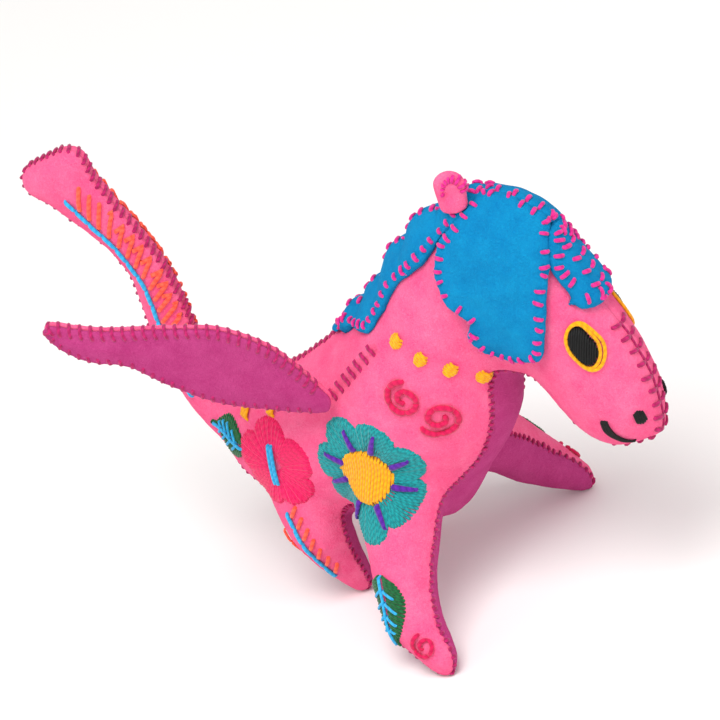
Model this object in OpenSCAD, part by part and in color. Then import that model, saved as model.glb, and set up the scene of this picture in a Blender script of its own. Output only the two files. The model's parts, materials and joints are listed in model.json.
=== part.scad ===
// Stuffed wool-felt winged horse, hand sewn from flat panels and embroidered.
// Frame: +X towards the nose, +Y to the horse's left, +Z up.
// The origin is on the ground, under the middle of the figure's bounding box.

/* [Felt] */
// Thickness of the felt the body and wings are cut from
felt_t = 1.8; // [1.4:0.1:2.2]
// Thickness of the mane's felt
mane_t = 2.6; // [2:0.2:3.2]
// Gap between two cut edges that are sewn together
seam_gap = 0.3; // [0.2:0.05:0.4]
// Gap between the felt and what fills it or lies on it
layer_gap = 0.1; // [0.05:0.05:0.15]

/* [Embroidery] */
// Height of the satin stitches above the felt
satin_t = 0.9; // [0.6:0.1:1.2]
// Height of the single stitches laid over the satin stitches
thread_t = 0.6; // [0.4:0.1:0.8]
// Width of a line of chain stitch
chain_w = 2.2; // [1.8:0.2:2.6]
// Width of the bands of whip stitches that close the seams
whip_w = 2.4; // [2:0.2:3]

/* [Shoulder flower] */
// Radius of the flower on each shoulder
flower_r = 19; // [17:1:20]
// Radius of the flower's yellow centre
flower_centre_r = 7.5; // [6:0.5:8]
// Number of petals
petals = 7; // [5:1:8]
// Number of purple stamens
stamens = 8; // [6:1:10]

/* [Wings] */
// Length of a wing from its root seam to its tip
wing_span = 87; // [80:1:90]
// Widest part of a wing, across its span
wing_chord = 28; // [24:1:30]
// Thickness of the filling between a wing's two felts
wing_fill = 2.6; // [2:0.2:3]

/* [Face] */
// Height of an eye, with its yellow border
eye_h = 14; // [12:1:15]
// Width of an eye, with its yellow border
eye_w = 10; // [9:1:12]
// Width of the yellow border of an eye
eye_border = 1.8; // [1.4:0.2:2.2]

/* [Hidden] */

pink = "#ff62a4";
magenta = "#c43c80";
blue = "#1090c8";
crimson = "#e01060";
teal = "#10989c";
yellow = "#f0b010";
green = "#105a30";
purple = "#501890";
orange = "#f85040";
black = "#101010";
seam_colour = "#a81858";
white = "#f4f0ea";

section_sides = 16;
ball_sides = 12;
far = 200;

// Cross-sections of the body from rump to muzzle: [top x, top z, bottom x, bottom z, half width].
body_sections = [
  [-56, 61, -52, 44, 7],
  [-50, 65, -44, 38, 14],
  [-40, 70, -34, 31, 20],
  [-29, 75, -24, 28, 23],
  [-17, 82, -9, 27, 24],
  [-7, 89, 6, 26, 25],
  [2, 96, 23, 27, 26],
  [9, 102, 30, 38, 26],
  [16, 108, 38, 52, 24],
  [23, 117, 44, 64, 21],
  [31, 127, 49, 75, 18],
  [42, 136, 56, 82, 15.5],
  [56, 143, 66, 80, 14.5],
  [70, 143, 68, 73, 14],
  [82, 137, 70, 67, 13.5],
  [90, 125, 72, 63, 13.5],
  [95, 110, 75, 60, 13],
  [99, 95, 79, 58, 12],
  [102, 82, 84, 57, 11],
  [102, 74, 88, 59, 8.5]
];
// Ball that rounds the muzzle off: centre and radius.
muzzle = [[96, 0, 66], 6.2];

// Cross-sections of the tail from rump to tip, in the same form.
tail_sections = [
  [-50, 62, -54, 46, 10],
  [-54, 73, -66, 58, 7.5],
  [-57, 84, -72, 77, 6.5],
  [-57, 97, -73, 94, 6],
  [-59, 109, -74, 107, 6],
  [-64, 121, -79, 117, 6],
  [-70, 132, -87, 124, 6],
  [-75, 142, -95, 131, 6.2]
];
// Two balls that round the tail's tip off.
tail_tip = [[[-81, 0, 147], 5.5], [[-97, 0, 139], 6]];

// Balls down a left leg from the trunk to the foot: centre and radius.
front_leg = [
  [[12, 13, 50], 16],
  [[14, 22, 40], 13],
  [[17, 33, 27], 10.5],
  [[21, 41, 15], 9],
  [[32, 47, 4.6], 5.4]
];
hind_leg = [
  [[-24, 12, 40], 13],
  [[-22, 16, 28], 10.5],
  [[-20, 14, 16], 8],
  [[-17, 11, 4.4], 5.2]
];

// Half width of the belly gusset at each height, over the front legs and over the hind legs.
front_gusset = [
  [10, 81], [10.5, 62], [11, 48], [16, 41], [20, 37], [29, 31], [33, 27], [41, 15], [47, 5], [48, -2]
];
hind_gusset = [[8, 40], [15, 33], [17, 28], [14, 16], [11, 4], [11, -2]];
gusset_step_x = -4;
gusset_front_x = 62;
gusset_back_x = -52;

// Places of the embroidered motifs on a flank, as [x, z], and how far out each patch begins.
shoulder = [10, 57];
hip = [-26, 54];
leg_leaf = [17, 20];
rump_leaf = [-46.5, 57.2];
foot_spiral = [29, 11];
eye = [88, 99];
nostril = [98, 72];
collar = [[29, 102], [36, 96], [46, 89], [51.5, 86.4]];
swirls = [[27, 86, 5.5, 80], [38, 74, 6.5, 200]];

// Outlines of the mane's pieces as they hang on a flank, as [x, z].
back_mane_outline = [
  [-14, 96], [4, 110], [20, 130], [36, 150], [62, 160], [60, 142], [49, 133],
  [40, 124], [30, 117], [24, 108], [18, 101], [8, 98], [-2, 91]
];
flap_outline = [
  [60, 160], [76, 150], [80, 136], [81, 124], [79, 108], [76, 97], [66, 95],
  [58, 98], [53, 104], [57, 110], [50, 115], [47, 124], [50, 134]
];
forelock_outline = [
  [76.4, 160], [110, 140], [106, 102], [96, 104], [92, 110], [88, 110], [85, 116],
  [81.5, 122], [80.4, 136]
];

// Where each wing's root is sewn on, and how it is turned: roll, pitch, yaw.
right_wing_root = [4, -25.2, 83];
right_wing_turn = [9, 23, 22];
left_wing_root = [4, 26.8, 83];
left_wing_turn = [28, -56, -36];
// Half outline of a wing as shares of its span and chord: upper edge, then lower edge.
wing_upper = [
  [0, 0.2], [0.05, 0.32], [0.14, 0.57], [0.25, 0.75], [0.41, 0.79], [0.54, 0.71],
  [0.67, 0.57], [0.8, 0.39], [0.92, 0.32], [0.99, 0.25], [1, 0.07]
];
wing_lower = [
  [0.94, -0.07], [0.84, -0.14], [0.7, 0], [0.57, -0.11], [0.38, -0.21], [0.23, -0.18],
  [0.11, -0.18], [0, -0.14]
];

// Shapes of the stuffed body

module section(s, grow) {
  tilt = atan2(s[0] - s[2], s[1] - s[3]);
  half_h = norm([s[0] - s[2], s[1] - s[3]]) / 2;
  translate([(s[0] + s[2]) / 2, 0, (s[1] + s[3]) / 2])
    rotate([0, tilt, 0])
      scale([1, s[4] + grow, half_h + grow])
        rotate([0, 90, 0])
          cylinder(r = 1, h = 0.2, center = true, $fn = section_sides);
}

module ball(b, grow) {
  translate(b[0])
    sphere(r = b[1] + grow, $fn = ball_sides);
}

module chain_of_sections(sections, grow) {
  for (i = [0 : len(sections) - 2]) {
    hull() {
      section(sections[i], grow);
      section(sections[i + 1], grow);
    }
  }
}

module chain_of_balls(balls, grow) {
  for (i = [0 : len(balls) - 2]) {
    hull() {
      ball(balls[i], grow);
      ball(balls[i + 1], grow);
    }
  }
}

// The whole stuffed body, grown outwards or shrunk inwards, standing on flat soles.
module figure_form(grow) {
  difference() {
    union() {
      chain_of_sections(body_sections, grow);
      hull() {
        section(body_sections[len(body_sections) - 1], grow);
        ball(muzzle, grow);
      }
      chain_of_sections(tail_sections, grow);
      hull() {
        section(tail_sections[len(tail_sections) - 1], grow);
        ball(tail_tip[0], grow);
        ball(tail_tip[1], grow);
      }
      for (side = [0, 1]) {
        mirror([0, side, 0]) {
          chain_of_balls(front_leg, grow);
          chain_of_balls(hind_leg, grow);
        }
      }
    }
    translate([-far, -far, -far - grow])
      cube([2 * far, 2 * far, far]);
  }
}

// Layer that lies over the felt, between two heights above it.
module over_felt(low, high) {
  difference() {
    figure_form(high);
    figure_form(low);
  }
}

module gusset_slice(half_widths, x0, x1, grow) {
  outline = concat(half_widths, [for (i = [len(half_widths) - 1 : -1 : 0]) [-half_widths[i][0], half_widths[i][1]]]);
  translate([x0, 0, 0])
    rotate([90, 0, 90])
      linear_extrude(height = x1 - x0)
        offset(delta = grow)
          polygon(outline);
}

// Room that the belly gusset takes between the two side panels.
module gusset_room(grow) {
  gusset_slice(front_gusset, gusset_step_x, gusset_front_x, grow);
  gusset_slice(hind_gusset, gusset_back_x, gusset_step_x + 0.01, grow);
}

module felt_skin() {
  difference() {
    figure_form(0);
    figure_form(-felt_t);
  }
}

// Half space on one side of the middle plane: -1 is the right, 1 the left.
module half_space(side, gap) {
  mirror([0, side < 0 ? 1 : 0, 0])
    translate([-far, gap / 2, -far])
      cube([2 * far, far, 2 * far]);
}

module side_panel(side) {
  color(pink)
    difference() {
      intersection() {
        felt_skin();
        half_space(side, seam_gap);
      }
      gusset_room(seam_gap / 2);
    }
}

module right_side_panel() {
  side_panel(-1);
}

module left_side_panel() {
  side_panel(1);
}

module belly_gusset() {
  color(magenta)
    intersection() {
      felt_skin();
      gusset_room(-seam_gap / 2);
    }
}

module body_stuffing() {
  color(white)
    figure_form(-felt_t - layer_gap);
}

// Ears

module ear(x, y, z, lean) {
  color(pink)
    translate([x, y, z])
      rotate([lean, 0, 12])
        difference() {
          hull() {
            translate([0, 0, 9])
              scale([0.9, 0.42, 1])
                sphere(r = 5.2, $fn = 20);
            scale([0.8, 0.5, 0.3])
              sphere(r = 5, $fn = 20);
          }
          translate([0, -4.4, 7])
            scale([0.7, 0.5, 1])
              sphere(r = 5.4, $fn = 20);
        }
}

module right_ear() {
  ear(55, -7, 144.5, 8);
}

module left_ear() {
  ear(50, 18.3, 123, -75);
}

// Mane

module flank_patch(side, start, low, high) {
  intersection() {
    over_felt(low, high);
    mirror([0, side < 0 ? 0 : 1, 0])
      translate([0, -start, 0])
        rotate([90, 0, 0])
          linear_extrude(height = 80)
            children();
  }
}

module ridge_patch(half_w, low, high) {
  intersection() {
    over_felt(low, high);
    translate([0, half_w, 0])
      rotate([90, 0, 0])
        linear_extrude(height = 2 * half_w)
          children();
  }
}

module mane_back() {
  color(blue)
    ridge_patch(80, layer_gap, mane_t + layer_gap)
      polygon(back_mane_outline);
}

module mane_flap(side) {
  color(blue)
    flank_patch(side, seam_gap / 2, layer_gap, mane_t + layer_gap)
      difference() {
        polygon(flap_outline);
        offset(delta = seam_gap)
          polygon(back_mane_outline);
        offset(delta = seam_gap)
          polygon(forelock_outline);
      }
}

module right_mane_flap() {
  mane_flap(-1);
}

module left_mane_flap() {
  mane_flap(1);
}

module forelock() {
  color(blue)
    ridge_patch(80, layer_gap, mane_t + layer_gap)
      polygon(forelock_outline);
}

// Face

module eye_shape(shrink) {
  translate(eye)
    rotate(12)
      offset(delta = -shrink)
        scale([eye_w / eye_h, 1])
          circle(d = eye_h, $fn = 20);
}

module eye_ring(side) {
  color(yellow)
    flank_patch(side, 5, layer_gap, satin_t)
      difference() {
        eye_shape(0);
        eye_shape(eye_border);
      }
}

module eye_pupil(side) {
  color(black)
    flank_patch(side, 5, layer_gap, satin_t)
      eye_shape(eye_border + seam_gap);
}

module right_eye_ring() {
  eye_ring(-1);
}

module left_eye_ring() {
  eye_ring(1);
}

module right_eye() {
  eye_pupil(-1);
}

module left_eye() {
  eye_pupil(1);
}

module nostril_patch(side) {
  color(black)
    flank_patch(side, 3, layer_gap, satin_t)
      translate(nostril)
        rotate(-20)
          scale([0.7, 1])
            circle(r = 1.9, $fn = 12);
}

module right_nostril() {
  nostril_patch(-1);
}

module left_nostril() {
  nostril_patch(1);
}

// Line of stitches along a polyline, with round ends.
module stitch_line(points, w) {
  for (i = [0 : len(points) - 2]) {
    hull() {
      translate(points[i])
        circle(d = w, $fn = 6);
      translate(points[i + 1])
        circle(d = w, $fn = 6);
    }
  }
}

module mouth() {
  color(black)
    for (side = [-1, 1]) {
      flank_patch(side, 3, layer_gap, satin_t)
        stitch_line([[87, 72], [88, 68], [91, 64], [95, 62]], 1.6);
    }
}

// Embroidery on the neck

module collar_dots(side) {
  color(yellow)
    flank_patch(side, 5, layer_gap, satin_t)
      for (dot = collar) {
        translate(dot)
          circle(r = 2.5, $fn = 12);
      }
}

module right_collar_dots() {
  collar_dots(-1);
}

module left_collar_dots() {
  collar_dots(1);
}

// Points of a spiral that winds in from radius r over the given turns.
function spiral(centre, r, turns, start, steps) = [
  for (i = [0 : steps])
    let (a = start + 360 * turns * i / steps, q = r * (1 - 0.8 * i / steps))
    centre + q * [cos(a), sin(a)]
];

module neck_swirls(side) {
  color(crimson)
    flank_patch(side, 5, layer_gap, satin_t)
      for (s = swirls) {
        stitch_line(spiral([s[0], s[1]], s[2], 1.3, s[3], 12), chain_w);
      }
}

module right_neck_swirls() {
  neck_swirls(-1);
}

module left_neck_swirls() {
  neck_swirls(1);
}

// Shoulder flower

module petal_ring(r, hole_r, count) {
  difference() {
    union() {
      circle(r = 0.6 * r, $fn = 24);
      for (i = [0 : count - 1]) {
        rotate(360 * i / count)
          translate([0.62 * r, 0])
            circle(r = 0.38 * r, $fn = 16);
      }
    }
    circle(r = hole_r, $fn = 24);
  }
}

module shoulder_petals(side) {
  color(teal)
    flank_patch(side, 12, layer_gap, satin_t)
      translate(shoulder)
        petal_ring(flower_r, flower_centre_r + seam_gap, petals);
}

module shoulder_centre(side) {
  color(yellow)
    flank_patch(side, 12, layer_gap, satin_t)
      translate(shoulder)
        circle(r = flower_centre_r, $fn = 24);
}

module shoulder_stamens(side) {
  color(purple)
    flank_patch(side, 12, satin_t + layer_gap, satin_t + layer_gap + thread_t)
      translate(shoulder)
        for (i = [0 : stamens - 1]) {
          rotate(360 * (i + 0.5) / stamens)
            stitch_line([[flower_centre_r, 0], [0.72 * flower_r, 0]], 1.4);
        }
}

module right_shoulder_petals() {
  shoulder_petals(-1);
}

module left_shoulder_petals() {
  shoulder_petals(1);
}

module right_shoulder_centre() {
  shoulder_centre(-1);
}

module left_shoulder_centre() {
  shoulder_centre(1);
}

module right_shoulder_stamens() {
  shoulder_stamens(-1);
}

module left_shoulder_stamens() {
  shoulder_stamens(1);
}

// Hip flower

module hip_petals(side) {
  color(crimson)
    flank_patch(side, 8, layer_gap, satin_t)
      translate(hip)
        petal_ring(15, 4.5 + seam_gap, 5);
}

module hip_centre(side) {
  color(blue)
    flank_patch(side, 8, layer_gap, satin_t)
      translate(hip)
        circle(r = 4.5, $fn = 16);
}

module right_hip_petals() {
  hip_petals(-1);
}

module left_hip_petals() {
  hip_petals(1);
}

module right_hip_centre() {
  hip_centre(-1);
}

module left_hip_centre() {
  hip_centre(1);
}

// Leaves on the front legs and beside the tail

module leaf_shape(length, width) {
  intersection() {
    translate([0, (length * length / width - width) / 4])
      circle(r = (length * length / width + width) / 4, $fn = 48);
    translate([0, -(length * length / width - width) / 4])
      circle(r = (length * length / width + width) / 4, $fn = 48);
  }
}

module leaf_veins_shape(length) {
  stitch_line([[-0.42 * length, 0], [0.42 * length, 0]], 1.4);
  for (t = [-0.25, 0, 0.25], side = [-1, 1]) {
    stitch_line([[t * length, 0], [(t + 0.14) * length, 0.18 * side * length]], 1);
  }
}

module leg_leaf(side) {
  color(green)
    flank_patch(side, 33, layer_gap, satin_t)
      translate(leg_leaf)
        rotate(-66)
          leaf_shape(23, 13);
}

module leg_leaf_veins(side) {
  color(blue)
    flank_patch(side, 33, satin_t + layer_gap, satin_t + layer_gap + thread_t)
      translate(leg_leaf)
        rotate(-66)
          leaf_veins_shape(17);
}

module right_leg_leaf() {
  leg_leaf(-1);
}

module left_leg_leaf() {
  leg_leaf(1);
}

module right_leg_leaf_veins() {
  leg_leaf_veins(-1);
}

module left_leg_leaf_veins() {
  leg_leaf_veins(1);
}

module rump_leaf(side) {
  color(green)
    flank_patch(side, 2, layer_gap, satin_t)
      translate(rump_leaf)
        rotate(-30)
          leaf_shape(19, 12);
}

module rump_leaf_veins(side) {
  color(blue)
    flank_patch(side, 2, satin_t + layer_gap, satin_t + layer_gap + thread_t)
      translate(rump_leaf)
        rotate(-30)
          leaf_veins_shape(14);
}

module right_rump_leaf() {
  rump_leaf(-1);
}

module left_rump_leaf() {
  rump_leaf(1);
}

module right_rump_leaf_veins() {
  rump_leaf_veins(-1);
}

module left_rump_leaf_veins() {
  rump_leaf_veins(1);
}

// Spiral on each front foot

module foot_spiral_patch(side) {
  color(crimson)
    flank_patch(side, 44, layer_gap, satin_t)
      stitch_line(spiral(foot_spiral, 4.2, 1.2, 100, 10), 1.6);
}

module right_foot_spiral() {
  foot_spiral_patch(-1);
}

module left_foot_spiral() {
  foot_spiral_patch(1);
}

// Feather stitch down each hind leg and along the tail

module hind_feather(side) {
  color(orange)
    flank_patch(side, 14, layer_gap, satin_t) {
      stitch_line([[-28, 33], [-24, 22], [-19, 12]], chain_w);
      for (t = [[-29, 28], [-26, 22], [-23, 16]]) {
        stitch_line([t, t + [5.5, 7]], 1.2);
      }
    }
}

module right_hind_feather() {
  hind_feather(-1);
}

module left_hind_feather() {
  hind_feather(1);
}

// Middle of a tail section, as [x, z].
function tail_middle(i) = [
  (tail_sections[i][0] + tail_sections[i][2]) / 2,
  (tail_sections[i][1] + tail_sections[i][3]) / 2
];
// Line of the tail's midrib, from its root to its tip.
midrib = [for (i = [1 : len(tail_sections) - 1]) tail_middle(i)];

module tail_midrib(side) {
  color(blue)
    flank_patch(side, 1, layer_gap, satin_t)
      stitch_line(midrib, chain_w);
}

module tail_barbs(side) {
  color(orange)
    flank_patch(side, 1, satin_t + layer_gap, satin_t + layer_gap + thread_t)
      for (i = [0 : len(midrib) - 2], t = [0.1, 0.6]) {
        start = midrib[i] * (1 - t) + midrib[i + 1] * t;
        stitch_line([start, start + [3.6, 4]], 1.4);
      }
}

module right_tail_midrib() {
  tail_midrib(-1);
}

module left_tail_midrib() {
  tail_midrib(1);
}

module right_tail_barbs() {
  tail_barbs(-1);
}

module left_tail_barbs() {
  tail_barbs(1);
}

// Whip stitches that close the seams

module head_seam_stitches() {
  color(seam_colour)
    ridge_patch(whip_w / 2, layer_gap, satin_t)
      polygon([[99, 101], [110, 101], [110, 60], [84, 50], [70, 50], [70, 66], [86, 64], [96, 72]]);
}

module back_seam_stitches() {
  color(seam_colour)
    ridge_patch(whip_w / 2, layer_gap, satin_t)
      polygon([[-50, 67], [-50, 76], [-12, 95], [-7, 92], [-2, 86], [-20, 70]]);
}

module tail_seam_stitches() {
  color(seam_colour)
    ridge_patch(whip_w / 2, layer_gap, satin_t)
      polygon([[-52, 70], [-45, 90], [-62, 170], [-120, 170], [-120, 110], [-82, 90], [-80, 50], [-62, 44]]);
}

module gusset_seam_stitches() {
  color(seam_colour)
    intersection() {
      over_felt(layer_gap, satin_t);
      difference() {
        gusset_room(whip_w / 2);
        gusset_room(-whip_w / 2);
      }
      translate([-far, -far, 2])
        cube([2 * far, 2 * far, far]);
    }
}

// Wings. A wing is drawn with its span along -X and its chord along +Z, the felt that
// faces away from the body on its -Y side.

module wing_shape(shrink) {
  offset(delta = -shrink)
    polygon([for (p = concat(wing_upper, wing_lower)) [-wing_span * p[0], wing_chord * p[1]]]);
}

module wing_layer(y0, y1, shrink) {
  translate([0, y1, 0])
    rotate([90, 0, 0])
      linear_extrude(height = y1 - y0)
        wing_shape(shrink);
}

module place_right_wing() {
  translate(right_wing_root)
    rotate(right_wing_turn)
      children();
}

module place_left_wing() {
  translate(left_wing_root)
    rotate(left_wing_turn)
      mirror([0, 1, 0])
        children();
}

module wing_outer_felt() {
  color(magenta)
    wing_layer(-wing_fill / 2 - felt_t, -wing_fill / 2, 0);
}

module wing_inner_felt() {
  color(pink)
    wing_layer(wing_fill / 2, wing_fill / 2 + felt_t, 0);
}

module wing_stuffing() {
  color(white)
    wing_layer(layer_gap - wing_fill / 2, wing_fill / 2 - layer_gap, 2 + seam_gap);
}

// The wing's two felts are sewn together all round, with the filling squeezed out of the edge.
module wing_stitches() {
  color(seam_colour)
    difference() {
      wing_layer(layer_gap - wing_fill / 2, wing_fill / 2 - layer_gap, 0);
      wing_layer(-wing_fill, wing_fill, 2);
    }
}

module right_wing_outer_felt() {
  place_right_wing()
    wing_outer_felt();
}

module right_wing_inner_felt() {
  place_right_wing()
    wing_inner_felt();
}

module right_wing_stuffing() {
  place_right_wing()
    wing_stuffing();
}

module right_wing_stitches() {
  place_right_wing()
    wing_stitches();
}

module left_wing_outer_felt() {
  place_left_wing()
    wing_outer_felt();
}

module left_wing_inner_felt() {
  place_left_wing()
    wing_inner_felt();
}

module left_wing_stuffing() {
  place_left_wing()
    wing_stuffing();
}

module left_wing_stitches() {
  place_left_wing()
    wing_stitches();
}

right_side_panel();
left_side_panel();
belly_gusset();
body_stuffing();
right_ear();
left_ear();
mane_back();
right_mane_flap();
left_mane_flap();
forelock();
right_eye_ring();
right_eye();
left_eye_ring();
left_eye();
right_nostril();
left_nostril();
mouth();
right_collar_dots();
left_collar_dots();
right_neck_swirls();
left_neck_swirls();
right_shoulder_petals();
right_shoulder_centre();
right_shoulder_stamens();
left_shoulder_petals();
left_shoulder_centre();
left_shoulder_stamens();
right_hip_petals();
right_hip_centre();
left_hip_petals();
left_hip_centre();
right_leg_leaf();
right_leg_leaf_veins();
left_leg_leaf();
left_leg_leaf_veins();
right_rump_leaf();
right_rump_leaf_veins();
left_rump_leaf();
left_rump_leaf_veins();
right_foot_spiral();
left_foot_spiral();
right_hind_feather();
left_hind_feather();
right_tail_midrib();
right_tail_barbs();
left_tail_midrib();
left_tail_barbs();
head_seam_stitches();
back_seam_stitches();
tail_seam_stitches();
gusset_seam_stitches();
right_wing_outer_felt();
right_wing_inner_felt();
right_wing_stuffing();
right_wing_stitches();
left_wing_outer_felt();
left_wing_inner_felt();
left_wing_stuffing();
left_wing_stitches();
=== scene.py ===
"""The look of a stuffed wool-felt winged horse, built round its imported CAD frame."""
import json
import math
import random

import bmesh
import bpy
import numpy as np
from mathutils import Matrix, Vector, noise
from mathutils.bvhtree import BVHTree


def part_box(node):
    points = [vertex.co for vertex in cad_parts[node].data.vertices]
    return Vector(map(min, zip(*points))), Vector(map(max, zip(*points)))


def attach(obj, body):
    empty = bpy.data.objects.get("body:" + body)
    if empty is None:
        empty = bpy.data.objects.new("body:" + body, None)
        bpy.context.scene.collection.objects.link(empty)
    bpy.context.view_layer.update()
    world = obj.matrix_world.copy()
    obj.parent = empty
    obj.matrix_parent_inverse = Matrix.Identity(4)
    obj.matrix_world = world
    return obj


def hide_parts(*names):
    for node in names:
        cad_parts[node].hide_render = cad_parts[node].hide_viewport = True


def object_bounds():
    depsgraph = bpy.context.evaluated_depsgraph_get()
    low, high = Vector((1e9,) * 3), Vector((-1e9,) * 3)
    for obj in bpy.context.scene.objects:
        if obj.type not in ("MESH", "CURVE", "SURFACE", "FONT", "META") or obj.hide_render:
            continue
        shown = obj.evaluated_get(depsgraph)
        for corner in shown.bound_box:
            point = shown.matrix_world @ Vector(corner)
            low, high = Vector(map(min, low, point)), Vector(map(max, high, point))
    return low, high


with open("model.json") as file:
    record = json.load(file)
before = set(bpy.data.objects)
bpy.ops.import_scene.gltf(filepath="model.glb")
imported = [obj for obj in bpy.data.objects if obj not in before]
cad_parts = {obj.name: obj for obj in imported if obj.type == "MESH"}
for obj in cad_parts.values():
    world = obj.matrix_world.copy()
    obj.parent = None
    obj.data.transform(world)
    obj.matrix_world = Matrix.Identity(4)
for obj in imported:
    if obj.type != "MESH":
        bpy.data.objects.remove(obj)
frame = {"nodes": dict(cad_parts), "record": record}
CAD_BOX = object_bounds()
MM = 0.001
rng = random.Random(7)

# ---------------------------------------------------------------- sizes, in millimetres

FELT_T = 1.8
WOOL_W = 1.15
VOXEL = 0.9
LEG_TOP = 34
TRUNK_FLANK, FRONT_LEG_FLANK, HIND_LEG_FLANK = 10, 46, 16
RIGHT, LEFT = -1, 1
SIDE_NAMES = {RIGHT: "right", LEFT: "left"}


# ---------------------------------------------------------------- places on the frame

def flank(node):
    """A node's box as it lies on a flank, in millimetres: lowest x and z, then width and height."""
    low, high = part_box(node)
    return low[0] / MM, low[2] / MM, (high[0] - low[0]) / MM, (high[2] - low[2]) / MM


def at(node, across, up):
    """The place, as (x, z), at a share of a node's box."""
    x, z, width, height = flank(node)
    return x + across * width, z + up * height


def tree_of(*things):
    """One search tree over several pieces."""
    places, faces, start = [], [], 0
    for thing in things:
        places += [v.co.copy() for v in thing.data.vertices]
        faces += [[start + i for i in p.vertices] for p in thing.data.polygons]
        start = len(places)
    return BVHTree.FromPolygons(places, faces)


def node_tree(*nodes):
    """One search tree over CAD nodes."""
    return tree_of(*(frame["nodes"][node] for node in nodes))


def node_points(node):
    return np.array([v.co for v in frame["nodes"][node].data.vertices]) / MM


def slices(node, count):
    """Middle line of a long upright node, as (x, z), from even slices of its height."""
    places = node_points(node)
    levels = np.linspace(places[:, 2].min(), places[:, 2].max(), count + 1)
    line = []
    for low, high in zip(levels, levels[1:]):
        held = places[(places[:, 2] >= low) & (places[:, 2] <= high)]
        if len(held):
            line.append((held[:, 0].mean(), held[:, 2].mean()))
    return line


SHOULDER = at("right_shoulder_centre", 0.5, 0.5)
HIP = at("right_hip_centre", 0.5, 0.5)
EYE = at("right_eye", 0.5, 0.5)
WING_ROOT = {j["child"]: np.array(j["pos_m"]) / MM for j in frame["record"]["behaviour"]["joints"]}
# The right wing is sewn down along a slanted line, from above and before its hinge to just below it.
FOLD_ENDS = ((15, 14), (-4, -4))
WING_FOLD = [WING_ROOT["right_wing"][[0, 2]] + shift for shift in FOLD_ENDS]
# The buds beside the hip flower, measured from its centre: each one's x, lowest z and height.
HIP_BUDS = ((-12, 10, 5), (0, 14, 3))
# The way that the stitched faces of the ears look, close to the way to the camera.
EAR_FACING = (0.514, -0.669, 0.526)

# The seam of the belly gusset: its half width at each height, in front of and behind its step.
GUSSET_STEP_X = -4
GUSSET_TREE = node_tree("belly_gusset")


def gusset_profile(keep):
    """Half width of the gusset at each height, over the part of it whose x is kept."""
    places = node_points("belly_gusset")
    places = places[keep(places[:, 0])]
    heights = np.arange(0, places[:, 2].max(), 3.0)
    widths = []
    for height in heights:
        near = np.abs(places[:, 2] - height) < 5
        widths.append(np.abs(places[near, 1]).max() if near.any() else widths[-1])
    widths = np.convolve(np.pad(widths, 2, mode="edge"), np.ones(5) / 5, mode="valid")
    return list(zip(heights, widths))


FRONT_GUSSET = gusset_profile(lambda x: x > GUSSET_STEP_X + 1)
HIND_GUSSET = gusset_profile(lambda x: x < GUSSET_STEP_X - 1)


# ---------------------------------------------------------------- materials

def linear(code):
    """Linear colour of an sRGB hex code."""
    parts = [int(code[i:i + 2], 16) / 255 for i in (1, 3, 5)]
    return [c / 12.92 if c <= 0.04045 else ((c + 0.055) / 1.055) ** 2.4 for c in parts] + [1.0]


def add_node(tree, kind, settings=None, inputs=None, links=None):
    """Adds one node: its settings, its sockets' values and the outputs that feed its sockets."""
    node = tree.nodes.new(kind)
    for key, value in (settings or {}).items():
        setattr(node, key, value)
    for key, value in (inputs or {}).items():
        node.inputs[key].default_value = value
    for key, output in (links or {}).items():
        tree.links.new(output, node.inputs[key])
    return node


def new_material(name):
    material = bpy.data.materials.new(name)
    material.use_nodes = True
    tree = material.node_tree
    shader = tree.nodes["Principled BSDF"]
    shader.inputs["Metallic"].default_value = 0.0
    shader.inputs["IOR"].default_value = 1.5
    return material, tree, shader


def tinted(tree, low, high, fac):
    """Colour between two hex codes, by a factor."""
    ramp = add_node(tree, "ShaderNodeValToRGB", links={"Fac": fac})
    ramp.color_ramp.elements[0].color = linear(low)
    ramp.color_ramp.elements[1].color = linear(high)
    ramp.color_ramp.elements[0].position = 0.3
    ramp.color_ramp.elements[1].position = 0.7
    return ramp.outputs["Color"]


def felt(name, dark, light):
    """Pressed wool felt: matt, with a short nap that catches light at its edges and curled fibres."""
    material, tree, shader = new_material(name)
    place = add_node(tree, "ShaderNodeTexCoord").outputs["Object"]
    # Curled fibres about 0.7 mm across, bent by a coarser noise.
    fibres = add_node(
        tree, "ShaderNodeTexNoise",
        inputs={"Scale": 1 / (0.7 * MM), "Detail": 5.0, "Roughness": 0.62, "Distortion": 1.6},
        links={"Vector": place},
    ).outputs["Fac"]
    # Uneven pressing: soft patches about 7 mm across.
    patches = add_node(
        tree, "ShaderNodeTexNoise",
        inputs={"Scale": 1 / (7 * MM), "Detail": 3.0, "Roughness": 0.5}, links={"Vector": place},
    ).outputs["Fac"]
    mixed = add_node(
        tree, "ShaderNodeMath", {"operation": "MULTIPLY_ADD"}, {1: 0.65}, {0: fibres},
    )
    share = add_node(tree, "ShaderNodeMath", {"operation": "MULTIPLY"}, {1: 0.35}, {0: patches})
    tree.links.new(share.outputs[0], mixed.inputs[2])
    tree.links.new(tinted(tree, dark, light, mixed.outputs[0]), shader.inputs["Base Color"])
    bump = add_node(
        tree, "ShaderNodeBump", inputs={"Strength": 0.9, "Distance": 0.5 * MM}, links={"Height": fibres},
    )
    tree.links.new(bump.outputs["Normal"], shader.inputs["Normal"])
    shader.inputs["Roughness"].default_value = 0.95
    shader.inputs["Specular IOR Level"].default_value = 0.12
    shader.inputs["Sheen Weight"].default_value = 0.22
    shader.inputs["Sheen Roughness"].default_value = 0.5
    shader.inputs["Sheen Tint"].default_value = linear(light)
    return material


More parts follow.
